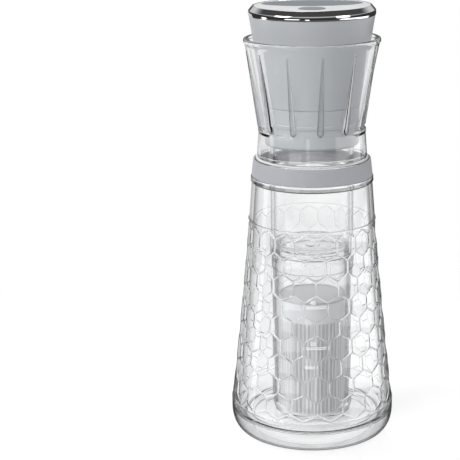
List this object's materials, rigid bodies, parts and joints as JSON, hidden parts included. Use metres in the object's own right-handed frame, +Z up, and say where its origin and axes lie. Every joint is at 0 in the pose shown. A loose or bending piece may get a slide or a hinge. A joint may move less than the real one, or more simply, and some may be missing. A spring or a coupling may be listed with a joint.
{
  "type": "cold brew coffee maker",
  "caption": "Clear faceted carafe with a ribbed funnel, a grey battery pump head with a chrome-ringed top, and a hanging tube with a steel mesh basket filter.",
  "frame": {"origin": "centre of the foot, on the surface that it stands on", "axes": "+Z up along the axis of the carafe, -Y towards the user, the side of the power button"},
  "size_m": [0.1186, 0.1184, 0.3101],
  "materials": {
    "carafe_clear": "clear, polished, faceted wall",
    "funnel_clear": "clear, polished",
    "tube_clear": "clear, polished",
    "band_grey": "satin silicone",
    "seal_grey": "satin silicone",
    "seal_clear": "translucent silicone",
    "shell_grey": "fine satin",
    "chrome": "polished plating",
    "plate_white": "gloss white",
    "inlay_grey": "fine satin",
    "button_grey": "fine satin",
    "screw_steel": "plated",
    "motor_steel": "plated",
    "mesh_steel": "fine woven mesh",
    "board_green": "solder mask",
    "switch_black": "moulded",
    "inner_black": "moulded",
    "cell_blue": "shrink sleeve",
    "wire_red": "insulation",
    "mark_white": "printed"
  },
  "bodies": {
    "carafe": {"carafe_body": "carafe_clear", "neck_band": "band_grey"},
    "funnel": {"funnel_collar": "funnel_clear", "funnel_gasket": "seal_clear"},
    "head": {"head_lower_housing": "shell_grey", "head_housing": "shell_grey", "head_seal": "seal_grey", "tube_seal": "seal_clear", "case_screws": "screw_steel", "trim_ring": "chrome", "top_plate": "plate_white", "top_inlay": "inlay_grey", "circuit_board": "board_green", "board_screws": "screw_steel", "tactile_switch": "switch_black", "usb_port": "screw_steel", "battery_cell": "cell_blue", "battery_cradle": "inner_black", "wires": "wire_red", "carrier_plate": "inner_black", "carrier_screws": "screw_steel", "pump_mount": "seal_grey", "pump_housing": "inner_black", "pump_motor": "motor_steel", "pump_diaphragm": "seal_grey", "air_nozzle": "inner_black", "air_hose": "seal_clear", "vent_valve": "motor_steel"},
    "button": {"power_button": "button_grey"},
    "flap": {"port_flap": "seal_grey"},
    "pump_rotor": {"motor_shaft": "motor_steel", "pump_cam": "inner_black"},
    "tube": {"brew_tube": "tube_clear"},
    "filter": {"filter_cup": "tube_clear", "filter_seal": "seal_clear", "level_marks": "mark_white"},
    "lid": {"filter_lid": "tube_clear"},
    "basket": {"basket_frame": "tube_clear", "basket_mesh": "mesh_steel", "basket_floor": "mesh_steel"},
    "basket_cover": {"basket_lid_rim": "mesh_steel", "basket_lid_mesh": "mesh_steel"}
  },
  "joints": [
    {"name": "funnel_lift", "type": "slide", "parent": "carafe", "child": "funnel", "axis": [0, 0, 1], "range_m": [0, 0.2]},
    {"name": "head_lift", "type": "slide", "parent": "funnel", "child": "head", "axis": [0, 0, 1], "range_m": [0, 0.285]},
    {"name": "button_press", "type": "slide", "parent": "head", "child": "button", "axis": [0, 0, -1], "range_m": [0, 0.0006], "stiffness_N_per_m": 1500},
    {"name": "flap_open", "type": "hinge", "parent": "head", "child": "flap", "pos_m": [0, 0.04147, 0.2932], "axis": [-1, 0, 0], "range_deg": [0, 100]},
    {"name": "pump_spin", "type": "hinge", "parent": "head", "child": "pump_rotor", "pos_m": [-0.013, 0, 0.25], "axis": [0, 0, 1], "continuous": true},
    {"name": "tube_twist", "type": "hinge", "parent": "head", "child": "tube", "pos_m": [0, 0, 0.217], "axis": [0, 0, 1], "range_deg": [0, 40]},
    {"name": "filter_twist", "type": "hinge", "parent": "tube", "child": "filter", "pos_m": [0, 0, 0.137], "axis": [0, 0, 1], "range_deg": [0, 45]},
    {"name": "lid_lift", "type": "slide", "parent": "filter", "child": "lid", "axis": [0, 0, 1], "range_m": [0, 0.06]},
    {"name": "basket_lift", "type": "slide", "parent": "filter", "child": "basket", "axis": [0, 0, 1], "range_m": [0, 0.03]},
    {"name": "basket_cover_lift", "type": "slide", "parent": "basket", "child": "basket_cover", "axis": [0, 0, 1], "range_m": [0, 0.03]}
  ]
}
